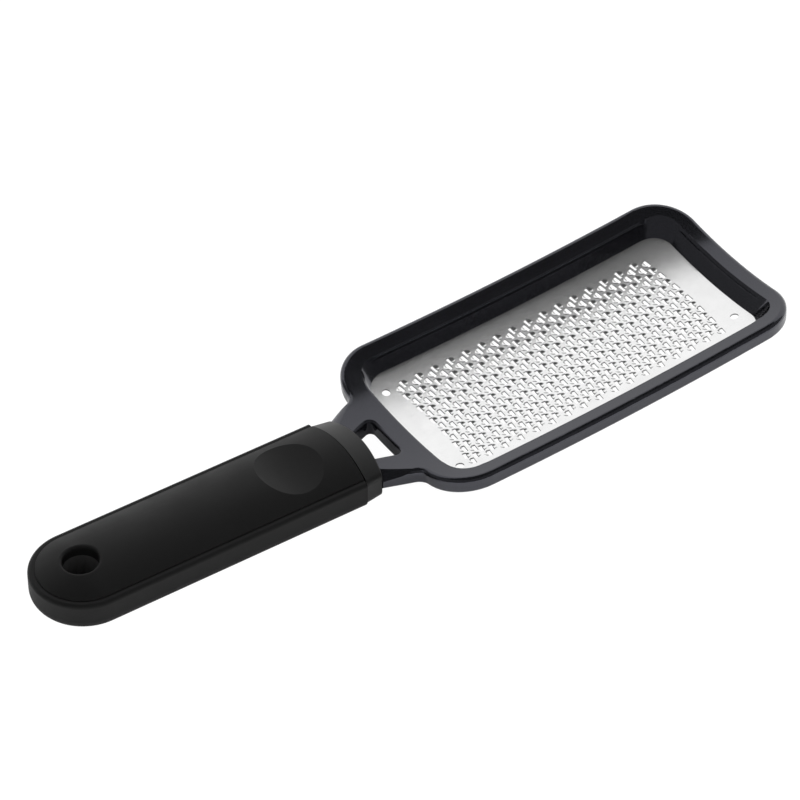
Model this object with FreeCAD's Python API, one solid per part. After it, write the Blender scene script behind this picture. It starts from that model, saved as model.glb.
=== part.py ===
import FreeCAD, Part
import os
from math import atan2, cos, degrees, pi, sin, sqrt
from FreeCAD import Placement, Rotation, Vector

os.makedirs("parts", exist_ok=True)

# Foot file: a dished steel rasp plate clamped in a moulded frame, on a two-part grip.
# Lengths are millimetres. X runs from the butt of the grip to the tip of the head, Z is up.

# Grip shell, the lower half of the handle
grip_length = 108.1
grip_width = 34.0
grip_front_radius = 200.0
shell_height = 10.5
shell_wall = 3.2
shell_floor = 2.2
shell_bottom_round = 4.0
shell_shoulder_round = 1.3

# Grip pad, the crowned upper half with the thumb scoop
pad_inset = 2.3
pad_height = 4.1
pad_crown_radius = 31.0
pad_edge_round = 0.35
thumb_centre = 89.7
thumb_length = 21.4
thumb_width = 23.2

# Hanging hole through the whole handle
hang_hole_diameter = 11.2
hang_hole_edge = 10.4
hang_hole_round = 0.8

# Collar between the grip and the neck
collar_groove = 0.45
collar_length = 7.15
collar_back_width = 32.0
collar_front_width = 30.0
collar_back_top = 14.1
collar_front_top = 13.3
collar_level = 0.2
collar_crown_radius = 32.0
collar_top_corner = 2.4
collar_low_corner = 3.0
collar_front_radius = 70.0
collar_edge_round = 0.5
spigot_length = 4.0
spigot_height = 6.4

# Neck arms, window, stem and tang of the frame
neck_length = 10.3
neck_root_width = 32.2
neck_flare_width = 40.4
neck_fillet = 4.0
neck_tuck = 2.5
arm_round_width = 8.5
arm_round_height = 1.9
arm_round_fade = 0.15
window_root_width = 11.4
window_head_width = 18.8
window_corner = 1.8
window_round = 0.9
stem_show = 0.4
stem_width = 23.0
stem_height = 4.4
tang_width = 16.0
tang_height = 3.6
tang_length = 45.0

# Head outline and the two curvatures of its dish
head_length = 136.4
head_width = 73.2
head_corner = 15.0
trough_radius = 144.0
bow_radius = 1146.0
plate_level = 3.05

# Rim of the frame around the plate
rim_height = 5.5
rim_side = 6.5
rim_tip = 6.4
rim_neck = 7.1
rim_top_round = 1.5
rim_bottom_round = 1.1
tray_corner = 9.0
ledge_depth = 1.3
ledge_width = 0.4
lip_round = 0.8
wall_lean_side = 1.6
wall_lean_tip = 3.0
wall_lean_neck = 1.4

# Rasp plate and the bezel that clamps it from below
plate_thickness = 0.5
plate_border = 2.4
bezel_lip = 0.8
bezel_inset = 2.3
bezel_cover = 1.2
bezel_round = 0.6
locating_hole_diameter = 2.8
locating_hole_margin = 4.4
locating_hole_spread_neck = 41.0
locating_hole_offset_tip = 18.0

# Teeth of the rasp, in columns that bulge towards the tip
tooth_columns = 33
tooth_rows = 26
column_pitch = 3.027
row_pitch = 1.678
column_arc_radius = 106.0
field_shift = -0.25
tooth_width = 2.8
slot_depth = 1.1
lip_length = 1.9
lip_overlap = 0.2
lip_drop = 0.7

# Clearances
fit_gap = 0.1
seam_gap = 0.05

# Derived places
collar_back_x = grip_length + collar_groove
collar_front_x = collar_back_x + collar_length
stem_back_x = collar_back_x - spigot_length
head_centre_x = collar_front_x + neck_length + head_length / 2
head_tilt = degrees((head_centre_x - grip_length) / bow_radius)
head_rise = (head_centre_x - grip_length) ** 2 / (2 * bow_radius)
crown_top = shell_height + pad_height
pad_half = grip_width / 2 - pad_inset
pad_edge_level = crown_top - pad_crown_radius + sqrt(pad_crown_radius ** 2 - pad_half ** 2)
thumb_depth = thumb_width ** 2 / (8 * pad_crown_radius)
thumb_radius = thumb_length ** 2 / (8 * thumb_depth)
hole_x = hang_hole_edge + hang_hole_diameter / 2
stem_level = plate_level + rim_height / 2
half_length = head_length / 2
half_width = head_width / 2
neck_root = -half_length - neck_length
neck_back = neck_root - neck_tuck
neck_slope = (neck_flare_width - neck_root_width) / (2 * neck_length)
wall_depth = rim_height - ledge_depth
view_side = half_width - rim_side - ledge_width - wall_lean_side
view_tip = half_length - rim_tip - ledge_width - wall_lean_tip
view_neck = -half_length + rim_neck + ledge_width + wall_lean_neck
AXIS_X = Vector(1, 0, 0)
AXIS_Y = Vector(0, 1, 0)
AXIS_Z = Vector(0, 0, 1)
BIG = 40.0
TINY = 1e-3
LOOSE = 0.02


def closed_wire(edges, points):
    """Wire of the given edges joined end to start by straight lines."""
    joined = []
    for i, edge in enumerate(edges):
        start = points[2 * i + 1]
        stop = points[(2 * i + 2) % len(points)]
        joined.append(edge)
        if start.distanceToPoint(stop) > TINY:
            joined.append(Part.LineSegment(start, stop).toShape())
    return Part.Wire(joined)


def rounded_rectangle(x_low, x_high, half, radius):
    """Plan wire of a rectangle with four round corners."""
    inset = radius * (1 - sqrt(0.5))
    corners = [(x_low, -half, 1, 1), (x_high, -half, -1, 1),
               (x_high, half, -1, -1), (x_low, half, 1, -1)]
    arcs = []
    points = []
    for x, y, sx, sy in corners:
        pair = [Vector(x, y + sy * radius, 0), Vector(x + sx * radius, y, 0)]
        if sx != sy:
            pair.reverse()
        middle = Vector(x + sx * inset, y + sy * inset, 0)
        arcs.append(Part.Arc(pair[0], middle, pair[1]).toShape())
        points += pair
    return closed_wire(arcs, points)


def polygon_face(points):
    """Flat face of a closed polygon."""
    return Part.Face(Part.makePolygon(points + points[:1]))


def stadium_block(inset, x_end, z_low, height):
    """Solid of the handle outline: round butt, straight sides, square front end."""
    half = grip_width / 2 - inset
    centre = grip_width / 2
    low = Vector(centre, -half, z_low)
    high = Vector(centre, half, z_low)
    butt = Part.Arc(high, Vector(inset, 0, z_low), low).toShape()
    front = Part.LineSegment(Vector(x_end, -half, z_low), Vector(x_end, half, z_low)).toShape()
    wire = closed_wire([butt, front], [high, low, Vector(x_end, -half, z_low), Vector(x_end, half, z_low)])
    return Part.Face(wire).extrude(Vector(0, 0, height))


def box_about(x_low, x_high, width, z_low, z_high):
    """Box centred across the handle."""
    return Part.makeBox(x_high - x_low, width, z_high - z_low, Vector(x_low, -width / 2, z_low))


def rod(radius, length, start, axis):
    """Cylinder with its seam turned to the side that meets no face of the tool."""
    body = Part.makeCylinder(radius, length, start, axis)
    body.rotate(start, axis, 180)
    return body


def upright(x, radius):
    """Tall upright cylinder centred on the handle's middle plane."""
    return rod(radius, 2 * BIG, Vector(x, 0, -BIG), AXIS_Z)


def bulged_end(x, radius):
    """Everything behind an end face that bulges towards the head and stands at x in the middle."""
    return upright(x - radius, radius)


def edges_at(shape, level):
    """Edges of the handle outline that lie wholly at one height, without the front end."""
    found = []
    for edge in shape.Edges:
        box = edge.BoundBox
        flat = abs(box.ZMin - level) < TINY and abs(box.ZMax - level) < TINY
        if flat and box.XMin < grip_length / 2:
            found.append(edge)
    return found


def hole_edges(shape, level):
    """Edges of the hanging hole's mouth near one height."""
    reach = hang_hole_diameter / 2 + LOOSE
    mouth = []
    for edge in edges_within(shape.Edges, hole_x - reach, hole_x + reach, reach):
        box = edge.BoundBox
        if abs(box.Center.z - level) < hang_hole_round and box.ZLength < hang_hole_round:
            mouth.append(edge)
    return mouth


def make_grip_shell():
    """Lower half of the handle: a tray with a rounded outside, open at the collar end."""
    body = stadium_block(0, grip_length + BIG, 0, shell_height)
    body = body.makeFillet(shell_bottom_round, edges_at(body, 0))
    body = body.makeFillet(shell_shoulder_round, edges_at(body, shell_height))
    body = body.common(bulged_end(grip_length, grip_front_radius))
    body = body.cut(stadium_block(shell_wall, grip_length + BIG, shell_floor, BIG))
    body = body.cut(upright(hole_x, hang_hole_diameter / 2))
    return body.makeFillet(hang_hole_round, hole_edges(body, 0))


def make_handle_core():
    """Rigid core that fills the shell and holds the tang in a slot."""
    body = stadium_block(shell_wall + fit_gap, stem_back_x - 2 * fit_gap, shell_floor,
                         shell_height - shell_floor)
    return body.cut(tang_block(fit_gap)).cut(upright(hole_x, hang_hole_diameter / 2))


def crowned(body):
    """Crown on top of a body: a barrel along the grip that ends as a dome over the butt."""
    turn = Vector(grip_width / 2, 0, crown_top - pad_crown_radius)
    barrel = rod(pad_crown_radius, 2 * grip_length, turn, AXIS_X)
    dome = Part.makeSphere(pad_crown_radius, turn)
    rear = box_about(-BIG, grip_width / 2, 2 * BIG, -BIG, BIG)
    front = body.cut(rear).common(barrel)
    return body.common(rear).common(dome).fuse(front).removeSplitter()


def thumb_scoop():
    """Roller lying across the grip that scoops the thumb rest out of the crown."""
    start = Vector(thumb_centre, -BIG, crown_top - thumb_depth + thumb_radius)
    return Part.makeCylinder(thumb_radius, 2 * BIG, start, AXIS_Y)


def make_grip_pad():
    """Upper half of the handle: crowned, with a thumb scoop near the collar."""
    body = stadium_block(pad_inset, grip_length + BIG, shell_height, BIG / 2)
    body = crowned(body.common(bulged_end(grip_length, grip_front_radius)))
    body = body.cut(upright(hole_x, hang_hole_diameter / 2))
    body = body.makeFillet(pad_edge_round, edges_at(body, pad_edge_level))
    body = body.cut(thumb_scoop())
    return body.makeFillet(hang_hole_round, hole_edges(body, crown_top))


def collar_section(x, width, top):
    """Cross-section of the collar: flat below, crowned above, with round corners."""
    half = width / 2
    low = collar_level
    bend = 1 - sqrt(0.5)
    inner = half - collar_top_corner
    reach = collar_crown_radius - collar_top_corner
    heart = top - collar_crown_radius
    rise = heart + sqrt(reach ** 2 - inner ** 2)
    lean = atan2(inner, rise - heart)
    side = Vector(x, half, rise)
    shoulder = Vector(x, inner + collar_top_corner * sin((lean + pi / 2) / 2),
                      rise + collar_top_corner * cos((lean + pi / 2) / 2))
    crest = Vector(x, collar_crown_radius * sin(lean), heart + collar_crown_radius * cos(lean))
    foot = [Vector(x, half - collar_low_corner, low),
            Vector(x, half - collar_low_corner * bend, low + collar_low_corner * bend),
            Vector(x, half, low + collar_low_corner)]
    mirror = [Vector(p.x, -p.y, p.z) for p in foot]
    arcs = [foot, [side, shoulder, crest], [crest, Vector(x, 0, top), Vector(x, -crest.y, crest.z)],
            [Vector(x, -p.y, p.z) for p in (crest, shoulder, side)], mirror[::-1]]
    points = [p for arc in arcs for p in (arc[0], arc[2])]
    return closed_wire([Part.Arc(*arc).toShape() for arc in arcs], points)


def make_collar():
    """Tapered ring between grip and neck, with a spigot that plugs the shell's open end."""
    narrowing = collar_back_width - collar_front_width
    fall = collar_back_top - collar_front_top
    sections = [collar_section(collar_back_x + step * collar_length, collar_back_width - step * narrowing,
                               collar_back_top - step * fall) for step in (-1, 2)]
    body = Part.makeLoft(sections, True, True)
    body = body.common(bulged_end(collar_front_x, collar_front_radius))
    rim = [e for e in body.Edges if e.BoundBox.XMin > collar_back_x]
    body = body.makeFillet(collar_edge_round, rim)
    body = body.cut(bulged_end(collar_back_x, grip_front_radius + collar_groove))
    spigot = box_about(stem_back_x, collar_back_x + collar_length / 2,
                       grip_width - 2 * (shell_wall + fit_gap),
                       shell_floor + fit_gap, shell_floor + fit_gap + spigot_height)
    return body.fuse(spigot).cut(stem_block(fit_gap)).removeSplitter()


def stem_block(grow):
    """Stem of the frame inside the collar, grown by a clearance."""
    return box_about(stem_back_x - fit_gap - grow, collar_front_x + stem_show + grow,
                     stem_width + 2 * grow,
                     stem_level - stem_height / 2 - grow, stem_level + stem_height / 2 + grow)


def tang_block(grow):
    """Tang of the frame inside the handle core, grown by a clearance."""
    return box_about(stem_back_x - tang_length - grow, stem_back_x + grow, tang_width + 2 * grow,
                     stem_level - tang_height / 2 - grow, stem_level + tang_height / 2 + grow)


def place_head(shape):
    """Moves a shape from the head's own axes to its tilted place at the end of the neck."""
    place = Placement(Vector(head_centre_x, 0, plate_level + head_rise), Rotation(AXIS_Y, -head_tilt))
    return shape.transformed(place.toMatrix())


def dish(x, y, offset=0.0):
    """Height in the head's own axes of the dish at an offset above the plate's top face."""
    trough = trough_radius - sqrt((trough_radius - offset) ** 2 - y ** 2)
    return bow_radius - sqrt((bow_radius - trough) ** 2 - x ** 2)


def bowed(face):
    """Solid made by sweeping a cross-section of the head along the bow."""
    hinge = Vector(0, 0, bow_radius)
    swing = degrees((half_length + 2 * neck_length) / bow_radius)
    start = face.copy()
    start.rotate(hinge, AXIS_Y, swing)
    return start.revolve(hinge, AXIS_Y, -2 * swing)


def trough_section(low, high, half_low, half_high):
    """Cross-section of a dished layer between two offsets, with its own half-width at each."""
    arcs = []
    points = []
    for offset, half, turn in ((low, half_low, 1), (high, half_high, -1)):
        pair = [Vector(0, s * half * turn, dish(0, half, offset)) for s in (-1, 1)]
        arcs.append(Part.Arc(pair[0], Vector(0, 0, offset), pair[1]).toShape())
        points += pair
    return Part.Face(closed_wire(arcs, points))


def dished_layer(low, high):
    """Layer between two offsets of the dish that covers the whole head and neck."""
    half = half_width + rim_height
    return bowed(trough_section(low, high, half, half))


def through(wire):
    """Prism of a plan wire, tall enough to cut through the head."""
    face = Part.Face(wire)
    face.translate(Vector(0, 0, -BIG))
    return face.extrude(Vector(0, 0, 2 * BIG))


def view_outline(grow):
    """Plan wire of the part of the plate that shows inside the frame, grown evenly."""
    return rounded_rectangle(view_neck - grow, view_tip + grow, view_side + grow, tray_corner + grow)


def skin_edges(body, side):
    """Edges round a dished skin of a body, -1 for the top and 0 for the bottom, but not at the root."""
    skins = [f for f in body.Faces if isinstance(f.Surface, Part.Toroid) and f.Area > head_width]
    skin = sorted(skins, key=lambda f: f.CenterOfMass.z)[side]
    return [e for e in skin.Edges if e.BoundBox.XMax > neck_back + TINY]


def edges_within(edges, x_low, x_high, half):
    """Edges whose plan lies inside a rectangle."""
    found = []
    for edge in edges:
        box = edge.BoundBox
        if x_low < box.XMin and box.XMax < x_high and -half < box.YMin and box.YMax < half:
            found.append(edge)
    return found


def arm_edge(x):
    """Half-width of the neck over the outer edges of its arms."""
    return neck_root_width / 2 + neck_slope * (x - neck_root)


def frame_outline():
    """Plan wire of the frame: the head's rounded outline blended into the two neck arms."""
    head = Part.Face(rounded_rectangle(-half_length, half_length, half_width, head_corner))
    reach = -half_length + rim_neck / 2
    arms = polygon_face([Vector(x, side * arm_edge(x), 0)
                         for x, side in ((neck_back, -1), (reach, -1), (reach, 1), (neck_back, 1))])
    plan = head.fuse(arms).removeSplitter().Faces[0]
    return plan.makeOffset2D(neck_fillet).makeOffset2D(-neck_fillet).Faces[0].OuterWire


def neck_window():
    """Prism of the tapered window between the arms, open towards the collar."""
    slope = (window_head_width - window_root_width) / (2 * neck_length)
    start = neck_back - neck_length
    root = window_root_width / 2 + slope * (start - neck_root)
    face = polygon_face([Vector(start, -root, -BIG), Vector(-half_length, -window_head_width / 2, -BIG),
                         Vector(-half_length, window_head_width / 2, -BIG), Vector(start, root, -BIG)])
    body = face.extrude(Vector(0, 0, 2 * BIG))
    corners = [e for e in body.Edges if e.BoundBox.ZLength > BIG and e.BoundBox.XMin > neck_root]
    return body.makeFillet(window_corner, corners)


def arm_round(side):
    """Solid that rounds the outer top of one arm, wide at the collar and dying out at the head."""
    wires = []
    bend = 1 - sqrt(0.5)
    for x, share in ((neck_back - TINY, 1.0), (-half_length, arm_round_fade)):
        outer = arm_edge(x)
        wide = arm_round_width * share
        tall = arm_round_height * share
        top = dish(x, outer - wide, rim_height)
        low = Vector(x, side * (outer + TINY), top - tall)
        mid = Vector(x, side * (outer - wide * bend), top - tall * bend)
        high = Vector(x, side * (outer - wide), top + TINY)
        out = [Vector(x, side * (outer - wide), top + BIG), Vector(x, side * (outer + BIG), top + BIG),
               Vector(x, side * (outer + BIG), top - tall)]
        edges = [Part.Arc(low, mid, high).toShape()]
        edges += [Part.LineSegment(a, b).toShape() for a, b in zip([high] + out, out + [low])]
        wires.append(Part.Wire(edges))
    return Part.makeLoft(wires, True, True)


def tray_wall():
    """Solid that clears the drafted inside of the rim, from the ledge down to the plate."""
    lean = wall_lean_side / wall_depth
    high = rim_height + ledge_depth
    body = bowed(trough_section(-seam_gap, high, view_side - lean * seam_gap, view_side + lean * high))
    ends = []
    for level in (-BIG / 4, BIG / 4):
        neck_x = view_neck - (level - dish(view_neck, 0)) * wall_lean_neck / wall_depth
        tip_x = view_tip + (level - dish(view_tip, 0)) * wall_lean_tip / wall_depth
        ends.append((Vector(neck_x, 0, level), Vector(tip_x, 0, level)))
    profile = polygon_face([ends[0][0], ends[0][1], ends[1][1], ends[1][0]])
    hinge = Vector(0, 0, trough_radius)
    swing = degrees(half_width / trough_radius)
    profile.rotate(hinge, AXIS_X, -swing)
    body = body.common(profile.revolve(hinge, AXIS_X, 2 * swing))
    corners = [e for e in body.Edges if e.BoundBox.ZLength > wall_depth / 2
               and e.BoundBox.XLength < half_length / 2 and e.BoundBox.YLength < half_width / 2]
    return body.makeFillet(tray_corner, corners)


def make_head_frame():
    """Moulded frame: dished rim, two neck arms round a window, stem and tang."""
    body = dished_layer(seam_gap, rim_height).common(through(frame_outline()))
    body = body.makeFillet(rim_top_round, skin_edges(body, -1))
    body = body.makeFillet(rim_bottom_round, skin_edges(body, 0))
    body = body.cut([arm_round(side) for side in (-1, 1)])
    body = body.cut(neck_window())
    mouth = edges_within(skin_edges(body, -1), neck_back - TINY, -half_length + LOOSE,
                         window_head_width / 2 + LOOSE)
    body = body.makeFillet(window_round, mouth)
    recess = dished_layer(wall_depth, 2 * rim_height)
    recess = recess.common(through(rounded_rectangle(-half_length + rim_neck, half_length - rim_tip,
                                                     half_width - rim_side,
                                                     tray_corner + ledge_width + wall_lean_side)))
    body = body.cut(recess)
    lip = edges_within(skin_edges(body, -1), -half_length + rim_neck - TINY, half_length - rim_tip + TINY,
                       half_width - rim_side + TINY)
    body = body.makeFillet(lip_round, lip)
    body = body.cut(tray_wall())
    body = place_head(body).cut(bulged_end(collar_front_x + seam_gap, collar_front_radius))
    return body.fuse([stem_block(0), tang_block(0)]).removeSplitter()


def tooth_lip():
    """Wedge under the plate that one tooth's cutting lip is pressed into, at the origin."""
    wide = tooth_width / 2
    top = -plate_thickness / 2
    corners = [Vector(lip_overlap, -wide, top), Vector(lip_overlap, wide, top), Vector(-lip_length, 0, top),
               Vector(lip_overlap, 0, -plate_thickness - lip_drop)]
    sides = ((0, 1, 2), (0, 1, 3), (1, 2, 3), (2, 0, 3))
    faces = [polygon_face([corners[k] for k in side]) for side in sides]
    return Part.makeSolid(Part.makeShell(faces))


def tooth_slot():
    """Half-moon prism that opens the plate in front of one tooth, at the origin."""
    reach = 2 * (plate_thickness + lip_drop)
    low = Vector(0, -tooth_width / 2, -reach)
    high = Vector(0, tooth_width / 2, -reach)
    bow = Part.Arc(low, Vector(slot_depth, 0, -reach), high).toShape()
    return Part.Face(closed_wire([bow], [low, high])).extrude(Vector(0, 0, 2 * reach))


def tooth_places():
    """Placements of every tooth: staggered columns, in pairs of rows that cut opposite ways."""
    places = []
    for column in range(tooth_columns):
        for row in range((column + 1) % 2, tooth_rows, 2):
            y = ((tooth_rows - 1) / 2 - row) * row_pitch
            x = (column - (tooth_columns - 1) / 2) * column_pitch + field_shift
            x -= y ** 2 / (2 * column_arc_radius)
            turn = degrees(atan2(y, column_arc_radius))
            if (row + 1) % 4 < 2:
                turn += 180
            lie = Rotation(AXIS_Y, -degrees(x / bow_radius)) * Rotation(AXIS_X, degrees(y / trough_radius))
            places.append(Placement(Vector(x, y, dish(x, y)), lie * Rotation(AXIS_Z, turn)))
    return places


def make_rasp_plate():
    """Steel plate with two-way teeth pressed down through it and three locating holes."""
    body = dished_layer(-plate_thickness, 0).common(through(view_outline(plate_border)))
    lip = tooth_lip()
    slot = tooth_slot()
    places = tooth_places()
    body = body.fuse([lip.transformed(place.toMatrix()) for place in places])
    cutters = [slot.transformed(place.toMatrix()) for place in places]
    neck_x = view_neck + locating_hole_margin
    tip_x = view_tip - locating_hole_margin
    for x, y in ((neck_x, locating_hole_spread_neck / 2), (neck_x, -locating_hole_spread_neck / 2),
                 (tip_x, -locating_hole_offset_tip)):
        hole = upright(x, locating_hole_diameter / 2)
        hole.translate(Vector(0, y, 0))
        cutters.append(hole)
    return place_head(body.cut(Part.makeCompound(cutters)))


def make_plate_bezel():
    """Lower ring that clamps the plate against the frame."""
    deep = plate_thickness + bezel_lip
    outline = rounded_rectangle(-half_length + bezel_inset, half_length - bezel_inset,
                                half_width - bezel_inset, head_corner - bezel_inset)
    body = dished_layer(-deep, 0).common(through(outline))
    body = body.makeFillet(bezel_round, skin_edges(body, 0))
    pocket = dished_layer(-plate_thickness - seam_gap, deep)
    pocket = pocket.common(through(view_outline(plate_border + fit_gap)))
    body = body.cut(pocket).cut(through(view_outline(plate_border - bezel_cover)))
    return place_head(body)


PIECES = {
    "grip_shell": make_grip_shell,
    "grip_pad": make_grip_pad,
    "handle_core": make_handle_core,
    "collar": make_collar,
    "head_frame": make_head_frame,
    "plate_bezel": make_plate_bezel,
    "rasp_plate": make_rasp_plate,
}

shapes = {name: make() for name, make in PIECES.items()}
middle = shapes["head_frame"].optimalBoundingBox().XMax / 2
for name, shape in shapes.items():
    shape.translate(Vector(-middle, 0, 0))
    shape.exportStep("parts/" + name + ".step")
    print(name, shape.isValid(), len(shape.Solids), round(shape.Volume, 1))
print(middle)
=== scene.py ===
import math

import bpy
from bpy.props import FloatProperty, FloatVectorProperty, IntProperty, PointerProperty
from mathutils import Matrix, Vector
from mathutils.geometry import delaunay_2d_cdt


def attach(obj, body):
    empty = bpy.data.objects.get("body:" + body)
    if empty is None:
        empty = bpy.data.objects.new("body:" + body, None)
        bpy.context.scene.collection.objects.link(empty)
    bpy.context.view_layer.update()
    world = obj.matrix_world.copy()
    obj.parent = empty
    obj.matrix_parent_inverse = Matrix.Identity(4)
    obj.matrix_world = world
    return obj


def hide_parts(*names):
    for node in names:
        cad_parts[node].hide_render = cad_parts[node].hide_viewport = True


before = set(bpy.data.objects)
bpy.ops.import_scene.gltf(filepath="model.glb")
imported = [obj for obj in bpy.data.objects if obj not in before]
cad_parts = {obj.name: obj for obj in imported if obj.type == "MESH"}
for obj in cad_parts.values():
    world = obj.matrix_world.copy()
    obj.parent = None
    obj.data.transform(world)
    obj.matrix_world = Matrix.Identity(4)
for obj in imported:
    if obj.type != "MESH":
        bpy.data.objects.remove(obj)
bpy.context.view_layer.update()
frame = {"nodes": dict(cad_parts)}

bl_info = {
    "name": "Foot file",
    "version": (1, 0, 0),
    "blender": (4, 5, 0),
    "location": "View3D > Sidebar > Foot file",
    "description": "Dresses the packed foot file and sets it in a white studio",
    "category": "Add Mesh",
}

BODY = "root"
MM = 0.001
SENSOR_WIDTH = 36.0  # in millimetres, as Blender's cameras have it
WHITE = (1.0, 1.0, 1.0, 1.0)
NOISE_LOW = 0.3  # values from here to the next are spread over a finish's range
NOISE_HIGH = 0.7
NOISE_ROUGHNESS = 0.55


def length(name, description, millimetres):
    """A length property in metres, with its default given in millimetres."""
    return FloatProperty(name=name, description=description, default=millimetres * MM,
                         min=0.0, precision=5, subtype="DISTANCE", unit="LENGTH")


def place(name, description, millimetres):
    """A coordinate in metres, with its default given in millimetres."""
    return FloatProperty(name=name, description=description, default=millimetres * MM,
                         precision=5, subtype="DISTANCE", unit="LENGTH")


def count(name, description, default):
    """A whole number of repeats."""
    return IntProperty(name=name, description=description, default=default, min=1)


def angle(name, description, degrees):
    """An angle property, with its default given in degrees."""
    return FloatProperty(name=name, description=description, default=math.radians(degrees),
                         subtype="ANGLE", unit="ROTATION")


def share(name, description, default, top=1.0):
    """A plain factor."""
    return FloatProperty(name=name, description=description, default=default, min=0.0, max=top)


def colour(name, description, default):
    """A linear colour."""
    return FloatVectorProperty(name=name, description=description, default=default, size=3,
                               min=0.0, max=1.0, subtype="COLOR")


class FootFileColours(bpy.types.PropertyGroup):
    """Colours and finishes of the tool."""
    grip: colour("Grip", "Soft-touch black of the grip pad and shell", (0.0035, 0.0035, 0.0036))
    grip_roughness: share("Grip roughness", "Matte level of the soft-touch skin", 0.55)
    grip_gloss: share("Grip gloss", "Strength of the grip's reflections", 0.24)
    collar: colour("Collar", "Satin black of the collar", (0.0030, 0.0031, 0.0031))
    collar_roughness: share("Collar roughness", "Satin level of the collar", 0.38)
    collar_gloss: share("Collar gloss", "Strength of the collar's reflections", 0.42)
    frame: colour("Frame", "Polished black of the head frame", (0.0024, 0.0025, 0.0030))
    frame_roughness: share("Frame roughness", "Polish of the head frame, lower is glossier", 0.12)
    frame_gloss: share("Frame gloss", "Strength of the frame's reflections", 0.92)
    frame_ripple: share("Frame ripple", "Strength of the moulding ripple on the frame", 0.12)
    frame_sheen: colour("Frame sheen", "Cool tint of the frame's reflections", (0.86, 0.87, 1.0))
    steel: colour("Steel", "Stainless steel of the rasp plate", (0.90, 0.90, 0.90))
    steel_roughness: share("Steel roughness", "Satin level of the steel", 0.20)
    # Sheared edges are matte steel; their dark grey is also painted shade that stands in for the
    # shadowed slits.
    cut: colour("Cut steel", "Sheared edges of the teeth and holes", (0.32, 0.32, 0.32))
    cut_roughness: share("Cut roughness", "Matte level of the sheared edges", 0.5)
    core: colour("Core", "Moulded core inside the grip", (0.03, 0.03, 0.03))
    core_roughness: share("Core roughness", "Matte level of the core", 0.5)


class FootFilePlate(bpy.types.PropertyGroup):
    """Dish, outline, holes and teeth of the rasp plate, in the head's own axes."""
    centre: place("Centre", "Where the middle of the head lies along the tool", 63.212)
    level: place("Level", "Height of the dish at the middle of the head", 6.299)
    tilt: angle("Tilt", "Upward tilt of the head", 4.3147)
    trough: length("Trough radius", "Radius of the dish across the head", 144.0)
    bow: length("Bow radius", "Radius of the dish along the head", 1146.0)
    thickness: length("Thickness", "Thickness of the sheet", 0.5)
    neck_end: place("Neck end", "Edge of the sheet towards the neck", -61.7)
    tip_end: place("Tip end", "Edge of the sheet towards the tip", 60.8)
    half_width: length("Half width", "Half of the sheet's width", 30.5)
    corner: length("Corner", "Corner radius of the sheet", 11.4)
    hole: length("Hole", "Radius of a locating hole", 1.4)
    hole_neck: place("Neck holes", "Where the two neck holes lie along the head", -54.9)
    hole_tip: place("Tip hole", "Where the tip hole lies along the head", 54.0)
    hole_neck_side: length("Neck hole offset", "Sideways offset of each neck hole", 20.5)
    hole_tip_side: length("Tip hole offset", "Sideways offset of the tip hole", 18.0)
    columns: count("Columns", "Columns of teeth along the head", 33)
    rows: count("Rows", "Rows of teeth across the head", 26)
    column_pitch: length("Column pitch", "Pitch of the columns", 3.027)
    row_pitch: length("Row pitch", "Pitch of the rows", 1.678)
    arc: length("Column arc", "Radius of the curved columns", 106.0)
    shift: place("Shift", "Offset of the tooth field along the head", -0.25)
    tooth: length("Tooth width", "Length of the slit in front of a tooth", 3.0)
    kerf: length("Kerf", "Width of the slit in front of a tooth", 1.25)
    pocket: length("Pocket length", "Length of the hollow behind a tooth's edge", 1.2)
    pocket_width: length("Pocket width", "Width of the hollow behind a tooth's edge", 2.4)
    drop: length("Drop", "Depth of a tooth's edge below the sheet", 0.28)
    web: length("Web", "Spacing of the points on the plain border of the sheet", 1.6)
    crease: angle("Crease", "Angle past which an edge of the sheet stays sharp", 18.0)


class FootFileStage(bpy.types.PropertyGroup):
    """Camera, light and floor."""
    focal: length("Focal length", "Focal length on a 36 mm sensor", 169.437)
    aim: FloatVectorProperty(name="Aim", description="Point the camera looks at", size=3,
                             default=(0.008014, 0.012341, 0.008), subtype="XYZ", unit="LENGTH")
    reach: length("Distance", "Distance from the camera to the aim", 1183.97)
    azimuth: angle("Azimuth", "Camera's turn about the upright", -34.1987)
    elevation: angle("Elevation", "Camera's height above the horizon", 41.5097)
    roll: angle("Roll", "Camera's turn about its own axis", 0.3426)
    backdrop_top: angle("Backdrop top", "How far the white backdrop rises above the horizon", 55.0)
    backdrop_side: angle("Backdrop side", "How far the white backdrop reaches round to each side", 65.0)
    ambient: share("Ambient", "Diffuse light level of the room", 2.0, 4.0)
    ceiling: share("Ceiling", "Grey of the dark ceiling above the backdrop", 0.08)
    screen: share("Screen", "Grey of the dark screen round the camera's side", 0.22)
    white: share("White", "Level of the floor as the camera sees it", 1.08, 2.0)
    floor_grey: share("Floor grey", "Grey of the floor where light falls on it", 0.85)
    floor_drop: length("Floor drop", "How far the floor lies below the tool", 0.1)
    shade: share("Shade", "Share of the real light and shadow on the floor", 0.10)


def empty_tree(owner, output):
    """The emptied node tree of a material or a world, and its new output node."""
    owner.use_nodes = True
    tree = owner.node_tree
    tree.nodes.clear()
    return tree, tree.nodes.new(output)


def new_material(name):
    """A material, its node tree and its principled shader, already linked to the output."""
    made = bpy.data.materials.new(name)
    tree, out = empty_tree(made, "ShaderNodeOutputMaterial")
    skin = tree.nodes.new("ShaderNodeBsdfPrincipled")
    tree.links.new(skin.outputs["BSDF"], out.inputs["Surface"])
    return made, tree, skin


def place_vector(tree, stretch=(1.0, 1.0, 1.0)):
    """The object's own coordinates in metres, stretched along its axes."""
    where = tree.nodes.new("ShaderNodeTexCoord")
    mapped = tree.nodes.new("ShaderNodeMapping")
    mapped.inputs["Scale"].default_value = stretch
    tree.links.new(where.outputs["Object"], mapped.inputs["Vector"])
    return mapped.outputs["Vector"]


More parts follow.
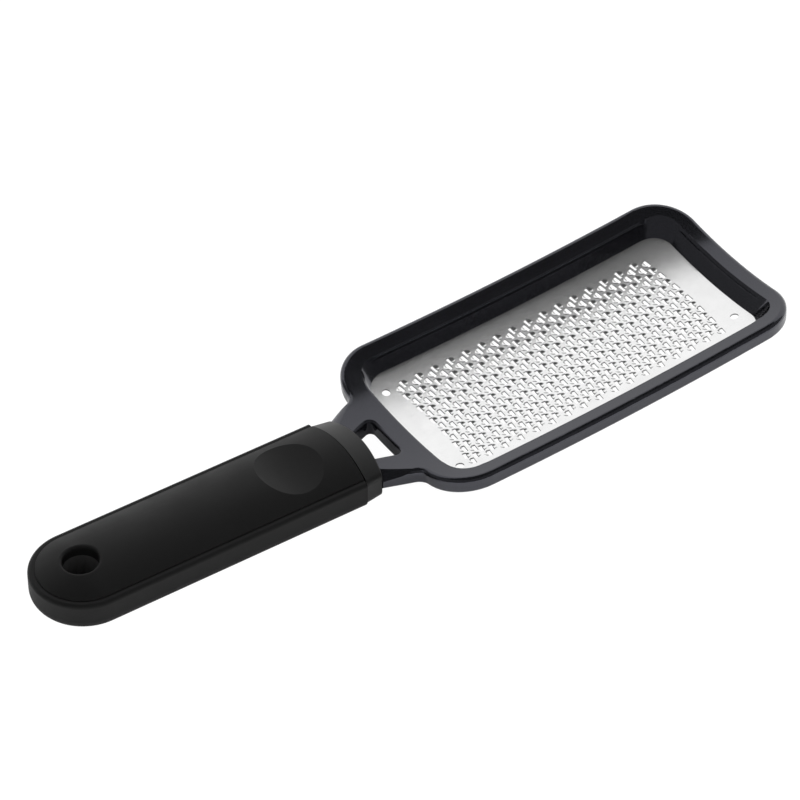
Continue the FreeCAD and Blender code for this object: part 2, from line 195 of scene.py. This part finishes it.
def noise(tree, vector, per_metre, detail=3.0):
    """Noise with so many features per metre."""
    made = tree.nodes.new("ShaderNodeTexNoise")
    made.inputs["Scale"].default_value = per_metre
    made.inputs["Detail"].default_value = detail
    made.inputs["Roughness"].default_value = NOISE_ROUGHNESS
    tree.links.new(vector, made.inputs["Vector"])
    return made.outputs["Fac"]


def spread(tree, factor, low, high):
    """Maps a noise onto a range of values."""
    made = tree.nodes.new("ShaderNodeMapRange")
    made.inputs["From Min"].default_value = NOISE_LOW
    made.inputs["From Max"].default_value = NOISE_HIGH
    made.inputs["To Min"].default_value = low
    made.inputs["To Max"].default_value = high
    tree.links.new(factor, made.inputs["Value"])
    return made.outputs["Result"]


def scaled(rgb, factor):
    """A colour made lighter or darker by a factor, ready for a colour ramp."""
    return (*[min(1.0, c * factor) for c in rgb], 1.0)


def tint(tree, factor, rgb, darkest, lightest):
    """Maps a noise onto a run between two tones of a colour."""
    made = tree.nodes.new("ShaderNodeValToRGB")
    made.color_ramp.elements[0].position = NOISE_LOW
    made.color_ramp.elements[0].color = scaled(rgb, darkest)
    made.color_ramp.elements[1].position = NOISE_HIGH
    made.color_ramp.elements[1].color = scaled(rgb, lightest)
    tree.links.new(factor, made.inputs["Fac"])
    return made.outputs["Color"]


def bump(tree, height, strength, depth):
    """A bump of so many metres."""
    made = tree.nodes.new("ShaderNodeBump")
    made.inputs["Strength"].default_value = strength
    made.inputs["Distance"].default_value = depth
    tree.links.new(height, made.inputs["Height"])
    return made.outputs["Normal"]


def soft_touch(name, rgb, roughness, gloss):
    """Soft-touch plastic: fine grain, a little gloss, slow changes in tone."""
    made, tree, skin = new_material(name)
    where = place_vector(tree)
    slow = noise(tree, where, per_metre=70.0)
    grain = noise(tree, where, per_metre=3200.0, detail=2.0)
    wander = 0.04
    tree.links.new(tint(tree, slow, rgb, darkest=0.88, lightest=1.14), skin.inputs["Base Color"])
    tree.links.new(spread(tree, slow, roughness - wander, roughness + wander), skin.inputs["Roughness"])
    tree.links.new(bump(tree, grain, strength=0.35, depth=0.03 * MM), skin.inputs["Normal"])
    skin.inputs["Specular IOR Level"].default_value = gloss
    return made


def moulded(name, rgb, roughness, gloss=0.5, ripple=0.25, sheen=(1.0, 1.0, 1.0)):
    """Hard moulded plastic: fine ripple from the mould, faint handling haze."""
    made, tree, skin = new_material(name)
    haze = noise(tree, place_vector(tree), per_metre=120.0)
    streak = noise(tree, place_vector(tree, (0.25, 1.0, 1.0)), per_metre=900.0, detail=2.0)
    tree.links.new(tint(tree, haze, rgb, darkest=0.85, lightest=1.2), skin.inputs["Base Color"])
    tree.links.new(spread(tree, haze, roughness * 0.8, roughness * 1.25), skin.inputs["Roughness"])
    tree.links.new(bump(tree, streak, strength=ripple, depth=0.004 * MM), skin.inputs["Normal"])
    skin.inputs["Specular IOR Level"].default_value = gloss
    skin.inputs["Specular Tint"].default_value = (*sheen, 1.0)
    return made


def satin_steel(name, rgb, roughness):
    """Cold-rolled stainless: rolling lines along the plate, faint cloudiness."""
    made, tree, skin = new_material(name)
    rolled = noise(tree, place_vector(tree, (0.06, 1.0, 1.0)), per_metre=4200.0)
    cloud = noise(tree, place_vector(tree), per_metre=160.0)
    skin.inputs["Metallic"].default_value = 1.0
    tree.links.new(tint(tree, cloud, rgb, darkest=0.97, lightest=1.03), skin.inputs["Base Color"])
    tree.links.new(spread(tree, rolled, roughness * 0.85, roughness * 1.15), skin.inputs["Roughness"])
    tree.links.new(bump(tree, rolled, strength=0.2, depth=0.006 * MM), skin.inputs["Normal"])
    return made


def finish_node(node, made):
    """Gives a carried-over solid its finish."""
    solid = frame["nodes"][node]
    solid.data.materials.clear()
    solid.data.materials.append(made)


class FOOTFILE_OT_grip(bpy.types.Operator):
    """Finish the grip's pad and shell in soft-touch black, and the core inside it"""
    bl_idname = "foot_file.grip"
    bl_label = "Grip"

    def execute(self, context):
        look = context.scene.foot_file_colours
        skin = soft_touch("soft_touch_black", look.grip, look.grip_roughness, look.grip_gloss)
        finish_node("grip_pad", skin)
        finish_node("grip_shell", skin)
        finish_node("handle_core", moulded("core_black", look.core, look.core_roughness))
        return {"FINISHED"}


class FOOTFILE_OT_collar(bpy.types.Operator):
    """Finish the tapered collar in satin black"""
    bl_idname = "foot_file.collar"
    bl_label = "Collar"

    def execute(self, context):
        look = context.scene.foot_file_colours
        skin = soft_touch("satin_black", look.collar, look.collar_roughness, look.collar_gloss)
        finish_node("collar", skin)
        return {"FINISHED"}


class FOOTFILE_OT_frame(bpy.types.Operator):
    """Finish the head frame and its lower bezel in polished black"""
    bl_idname = "foot_file.frame"
    bl_label = "Head frame"

    def execute(self, context):
        look = context.scene.foot_file_colours
        skin = moulded("polished_black", look.frame, look.frame_roughness, look.frame_gloss,
                       look.frame_ripple, look.frame_sheen)
        finish_node("head_frame", skin)
        finish_node("plate_bezel", skin)
        return {"FINISHED"}


def rounded_outline(low, high, half, radius, steps=10):
    """Points of a rectangle with round corners, anticlockwise."""
    points = []
    for x, y, start in ((high, half, 0.0), (low, half, 0.5), (low, -half, 1.0), (high, -half, 1.5)):
        heart = Vector((x - math.copysign(radius, x), y - math.copysign(radius, y)))
        for i in range(steps + 1):
            turn = math.pi * (start + 0.5 * i / steps)
            points.append(heart + radius * Vector((math.cos(turn), math.sin(turn))))
    return points


def ring(x, y, radius, sides=28):
    """Points of a circle, anticlockwise."""
    turns = [2 * math.pi * i / sides for i in range(sides)]
    return [Vector((x + radius * math.cos(t), y + radius * math.sin(t))) for t in turns]


class ToothedSheet:
    """Mesh of the rasp plate's upper skin, built in the head's own axes."""
    FAN = 10  # faces round a hollow
    LEVELS = (1.0, 0.75, 0.5, 0.25)  # rings of a hollow, as shares of its size
    SAME = 2e-3 * MM  # grid on which points count as one
    NEAR = 1e-3 * MM  # closeness at which the triangulation joins points

    def __init__(self, plate):
        self.plate = plate
        self.points = []
        self.faces = []
        self.index = {}

    def dish(self, spot, drop=0.0):
        """Point on the dish under a plan point, pressed down by a drop."""
        plate = self.plate
        sag = plate.trough - math.sqrt(plate.trough ** 2 - spot.y ** 2)
        height = plate.bow - math.sqrt((plate.bow - sag) ** 2 - spot.x ** 2)
        return Vector((spot.x, spot.y, height - drop))

    def add(self, point):
        """Index of a point, shared by all that lie at the same place."""
        key = tuple(round(c / self.SAME) for c in point)
        if key not in self.index:
            self.index[key] = len(self.points)
            self.points.append(point)
        return self.index[key]

    def lattice(self):
        """Plan place and turn of every tooth, in pairs of rows that cut opposite ways."""
        plate = self.plate
        for column in range(plate.columns):
            for row in range((column + 1) % 2, plate.rows, 2):
                y = ((plate.rows - 1) / 2 - row) * plate.row_pitch
                x = (column - (plate.columns - 1) / 2) * plate.column_pitch + plate.shift
                turn = math.atan2(y, plate.arc) + (math.pi if (row + 1) % 4 < 2 else 0.0)
                yield Vector((x - y ** 2 / (2 * plate.arc), y)), turn

    def arch(self, level):
        """Half ellipse round a tooth's hollow, from one end of its edge to the other."""
        wide = self.plate.pocket_width / 2 * level
        deep = self.plate.pocket * level
        turns = [math.pi * (0.5 + i / self.FAN) for i in range(self.FAN + 1)]
        return [Vector((deep * math.cos(t), wide * math.sin(t))) for t in turns]

    def placed(self, points, spot, turn):
        """Plan points of one tooth moved to its place."""
        spin = Matrix.Rotation(turn, 2)
        return [spot + spin @ p for p in points]

    def opening(self, spot, turn):
        """Outline of the hollow and the slit of one tooth."""
        plate = self.plate
        half = plate.tooth / 2
        slit = [Vector(p) for p in ((0, -half), (plate.kerf, -half), (plate.kerf, half), (0, half))]
        return self.placed(slit + self.arch(1.0), spot, turn)

    def hollow(self, spot, turn):
        """Faces of one tooth's pressed hollow, deepest at the middle of its edge."""
        rings = []
        for level in self.LEVELS:
            drop = self.plate.drop * (1 - level ** 2)
            flat = self.placed(self.arch(level), spot, turn)
            rings.append([self.add(self.dish(p, drop)) for p in flat])
        heart = self.add(self.dish(spot, self.plate.drop))
        for outer, inner in zip(rings, rings[1:]):
            for i in range(self.FAN):
                self.faces.append((outer[i], outer[i + 1], inner[i + 1], inner[i]))
        for i in range(self.FAN):
            self.faces.append((rings[-1][i], rings[-1][i + 1], heart))

    def border(self):
        """Plan points on the plain border, so that the dish stays smooth there."""
        plate = self.plate
        reach_x = plate.columns / 2 * plate.column_pitch
        reach_y = plate.rows / 2 * plate.row_pitch
        points = []
        for i in range(int((plate.tip_end - plate.neck_end) / plate.web)):
            for j in range(int(2 * plate.half_width / plate.web)):
                x = plate.neck_end + (i + 0.5) * plate.web
                y = -plate.half_width + (j + 0.5) * plate.web
                along = x - plate.shift + y ** 2 / (2 * plate.arc)
                if abs(along) > reach_x + plate.pocket or abs(y) > reach_y + plate.pocket:
                    points.append(Vector((x, y)))
        return points

    def skin(self):
        """Flat part of the sheet round all the openings."""
        plate = self.plate
        outlines = [rounded_outline(plate.neck_end, plate.tip_end, plate.half_width, plate.corner)]
        holes = ((plate.hole_neck, plate.hole_neck_side), (plate.hole_neck, -plate.hole_neck_side),
                 (plate.hole_tip, -plate.hole_tip_side))
        outlines += [ring(x, y, plate.hole) for x, y in holes]
        outlines += [self.opening(spot, turn) for spot, turn in self.lattice()]
        spots = []
        loops = []
        for outline in outlines:
            loops.append(list(range(len(spots), len(spots) + len(outline))))
            spots += outline
        spots += self.border()
        flat, _, faces, _, _, owners = delaunay_2d_cdt(spots, [], loops, 1, self.NEAR)
        for face, owner in zip(faces, owners):
            if list(owner) == [0]:
                self.faces.append(tuple(self.add(self.dish(flat[k])) for k in face))

    def build(self, name):
        """The sheet's upper skin as a mesh object in the tool's frame."""
        plate = self.plate
        self.skin()
        for spot, turn in self.lattice():
            self.hollow(spot, turn)
        spin = Matrix.Rotation(-plate.tilt, 4, "Y")
        move = Matrix.Translation((plate.centre, 0.0, plate.level)) @ spin
        mesh = bpy.data.meshes.new(name)
        mesh.from_pydata([move @ p for p in self.points], [], self.faces)
        mesh.validate()
        made = bpy.data.objects.new(name, mesh)
        bpy.context.scene.collection.objects.link(made)
        return made


def apply_modifiers(made):
    """Replaces an object's mesh by what its modifiers make of it."""
    graph = bpy.context.evaluated_depsgraph_get()
    made.data = bpy.data.meshes.new_from_object(made.evaluated_get(graph))
    made.modifiers.clear()


def thicken(made, thickness, crease):
    """Gives a skin its thickness below and keeps its creases sharp."""
    shell = made.modifiers.new("thickness", "SOLIDIFY")
    shell.thickness = thickness
    shell.offset = -1.0
    shell.material_offset_rim = 1
    apply_modifiers(made)
    made.data.shade_smooth()
    made.data.set_sharp_from_angle(angle=crease)
    even = made.modifiers.new("even_shading", "WEIGHTED_NORMAL")
    even.keep_sharp = True
    apply_modifiers(made)


class FOOTFILE_OT_plate(bpy.types.Operator):
    """Build the dished rasp plate with its pressed teeth in satin stainless steel"""
    bl_idname = "foot_file.plate"
    bl_label = "Rasp plate"

    def execute(self, context):
        look = context.scene.foot_file_colours
        plate = context.scene.foot_file_plate
        made = ToothedSheet(plate).build("toothed_plate")
        made.data.materials.append(satin_steel("satin_steel", look.steel, look.steel_roughness))
        # The walls of the slits, holes and outer edge get the cut steel, whose dark grey is partly
        # painted shade of the slits.
        made.data.materials.append(satin_steel("cut_steel_painted_shade", look.cut, look.cut_roughness))
        thicken(made, plate.thickness, plate.crease)
        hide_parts("rasp_plate")
        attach(made, BODY)
        return {"FINISHED"}


def any_of(tree, *rays):
    """One where a ray is of any of these kinds."""
    path = tree.nodes.new("ShaderNodeLightPath")
    total = path.outputs[rays[0]]
    for kind in rays[1:]:
        most = tree.nodes.new("ShaderNodeMath")
        most.operation = "MAXIMUM"
        tree.links.new(total, most.inputs[0])
        tree.links.new(path.outputs[kind], most.inputs[1])
        total = most.outputs["Value"]
    return total


def white_light(tree, kind, level):
    """An even white emission or background of a level."""
    made = tree.nodes.new(kind)
    made.inputs["Color"].default_value = WHITE
    made.inputs["Strength"].default_value = level
    return made.outputs[0]


def blend(tree, factor, first, second):
    """A mix of two shaders, which is the first where the factor is zero."""
    made = tree.nodes.new("ShaderNodeMixShader")
    tree.links.new(factor, made.inputs["Fac"])
    tree.links.new(first, made.inputs[1])
    tree.links.new(second, made.inputs[2])
    return made.outputs["Shader"]


class FOOTFILE_OT_stage(bpy.types.Operator):
    """Set the white room, the floor, the ceiling, the screen and the camera"""
    bl_idname = "foot_file.stage"
    bl_label = "Stage"

    def execute(self, context):
        stage = context.scene.foot_file_stage
        self.room(context, stage)
        self.floor(context, stage)
        self.ceiling(context, stage)
        self.screen(context, stage)
        self.camera(context, stage)
        context.scene.view_settings.view_transform = "Standard"
        return {"FINISHED"}

    def room(self, context, stage):
        """White world: plain white where it is seen, and the ambient level where it lights."""
        world = bpy.data.worlds.new("white_room")
        tree, out = empty_tree(world, "ShaderNodeOutputWorld")
        lit = white_light(tree, "ShaderNodeBackground", stage.ambient)
        seen = white_light(tree, "ShaderNodeBackground", 1.0)
        rays = any_of(tree, "Is Camera Ray", "Is Glossy Ray", "Is Transmission Ray")
        tree.links.new(blend(tree, rays, lit, seen), out.inputs["Surface"])
        context.scene.world = world

    def card(self, context, name, corners, faces=None):
        """A stage object from its corners, one flat face if no faces are given."""
        mesh = bpy.data.meshes.new(name)
        mesh.from_pydata(corners, [], faces or [tuple(range(len(corners)))])
        made = bpy.data.objects.new(name, mesh)
        context.scene.collection.objects.link(made)
        return made

    def paint(self, made, name, level):
        """Covers a card in one even glow that the camera doesn't see."""
        coat = bpy.data.materials.new(name)
        tree, out = empty_tree(coat, "ShaderNodeOutputMaterial")
        tree.links.new(white_light(tree, "ShaderNodeEmission", level), out.inputs["Surface"])
        made.data.materials.append(coat)
        made.visible_camera = False
        made.visible_shadow = False

    def floor(self, context, stage):
        """White floor that keeps the tool's shadow and is clear when seen from below."""
        half = 6.0
        level = -stage.floor_drop
        made = self.card(context, "floor", [(-half, -half, level), (half, -half, level),
                                            (half, half, level), (-half, half, level)])
        coat = bpy.data.materials.new("floor_white")
        tree, out = empty_tree(coat, "ShaderNodeOutputMaterial")
        matt = tree.nodes.new("ShaderNodeBsdfDiffuse")
        matt.inputs["Color"].default_value = (*[stage.floor_grey] * 3, 1.0)
        glow = white_light(tree, "ShaderNodeEmission", stage.white)
        kept = tree.nodes.new("ShaderNodeMath")
        kept.operation = "MULTIPLY"
        kept.inputs[1].default_value = 1.0 - stage.shade
        tree.links.new(any_of(tree, "Is Camera Ray", "Is Transmission Ray"), kept.inputs[0])
        above = blend(tree, kept.outputs["Value"], matt.outputs["BSDF"], glow)
        side = tree.nodes.new("ShaderNodeNewGeometry")
        clear = tree.nodes.new("ShaderNodeBsdfTransparent")
        both = blend(tree, side.outputs["Backfacing"], above, clear.outputs["BSDF"])
        tree.links.new(both, out.inputs["Surface"])
        made.data.materials.append(coat)

    def ceiling(self, context, stage):
        """Dark disc overhead that ends the white backdrop at its top."""
        height = 4.0
        radius = height / math.tan(stage.backdrop_top)
        sides = 96
        turns = [2 * math.pi * i / sides for i in range(sides)]
        rim = [(radius * math.cos(t), radius * math.sin(t), height) for t in turns]
        self.paint(self.card(context, "ceiling", rim), "ceiling_grey", stage.ceiling)

    def screen(self, context, stage):
        """Dark curved wall round the camera's side, for reflections alone."""
        height = 4.5
        radius = 3.0
        sides = 72
        away = math.pi / 2 + stage.azimuth
        sweep = 2 * (math.pi - stage.backdrop_side)
        turns = [away + stage.backdrop_side + sweep * i / sides for i in range(sides + 1)]
        points = [(radius * math.cos(t), radius * math.sin(t), z) for t in turns for z in (0.0, height)]
        faces = [(2 * i, 2 * i + 2, 2 * i + 3, 2 * i + 1) for i in range(sides)]
        made = self.card(context, "screen", points, faces)
        self.paint(made, "screen_black", stage.screen)
        made.visible_diffuse = False

    def camera(self, context, stage):
        """Camera at its distance from the aim, turned about its own axis by the roll."""
        lens = bpy.data.cameras.new("camera")
        lens.sensor_width = SENSOR_WIDTH
        lens.lens = stage.focal / MM
        lens.clip_start = 0.05
        lens.clip_end = 50.0
        made = bpy.data.objects.new("camera", lens)
        context.scene.collection.objects.link(made)
        flat = math.cos(stage.elevation)
        back = Vector((math.sin(stage.azimuth) * flat, -math.cos(stage.azimuth) * flat,
                       math.sin(stage.elevation)))
        level = (-back).to_track_quat("-Z", "Y").to_matrix().to_4x4()
        turn = Matrix.Rotation(stage.roll, 4, "Z")
        made.matrix_world = Matrix.Translation(Vector(stage.aim) + back * stage.reach) @ level @ turn
        context.scene.camera = made


class FOOTFILE_PT_panel(bpy.types.Panel):
    """Lists the pieces of the foot file"""
    bl_idname = "FOOTFILE_PT_panel"
    bl_label = "Foot file"
    bl_space_type = "VIEW_3D"
    bl_region_type = "UI"
    bl_category = "Foot file"

    def draw(self, context):
        for operator in OPERATORS:
            self.layout.operator(operator.bl_idname)
        scene = context.scene
        for group in (scene.foot_file_colours, scene.foot_file_plate, scene.foot_file_stage):
            for name in group.__annotations__:
                self.layout.prop(group, name)


OPERATORS = (FOOTFILE_OT_grip, FOOTFILE_OT_collar, FOOTFILE_OT_frame, FOOTFILE_OT_plate,
             FOOTFILE_OT_stage)
CLASSES = (FootFileColours, FootFilePlate, FootFileStage, *OPERATORS, FOOTFILE_PT_panel)


def register():
    """Registers the classes and hangs the property groups on the scene."""
    for made in CLASSES:
        bpy.utils.register_class(made)
    bpy.types.Scene.foot_file_colours = PointerProperty(type=FootFileColours)
    bpy.types.Scene.foot_file_plate = PointerProperty(type=FootFilePlate)
    bpy.types.Scene.foot_file_stage = PointerProperty(type=FootFileStage)


def unregister():
    """Takes the property groups and the classes away again."""
    del bpy.types.Scene.foot_file_stage
    del bpy.types.Scene.foot_file_plate
    del bpy.types.Scene.foot_file_colours
    for made in reversed(CLASSES):
        bpy.utils.unregister_class(made)


def main():
    """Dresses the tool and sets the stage."""
    register()
    bpy.ops.foot_file.grip()
    bpy.ops.foot_file.collar()
    bpy.ops.foot_file.frame()
    bpy.ops.foot_file.plate()
    bpy.ops.foot_file.stage()


if __name__ == "__main__":
    main()
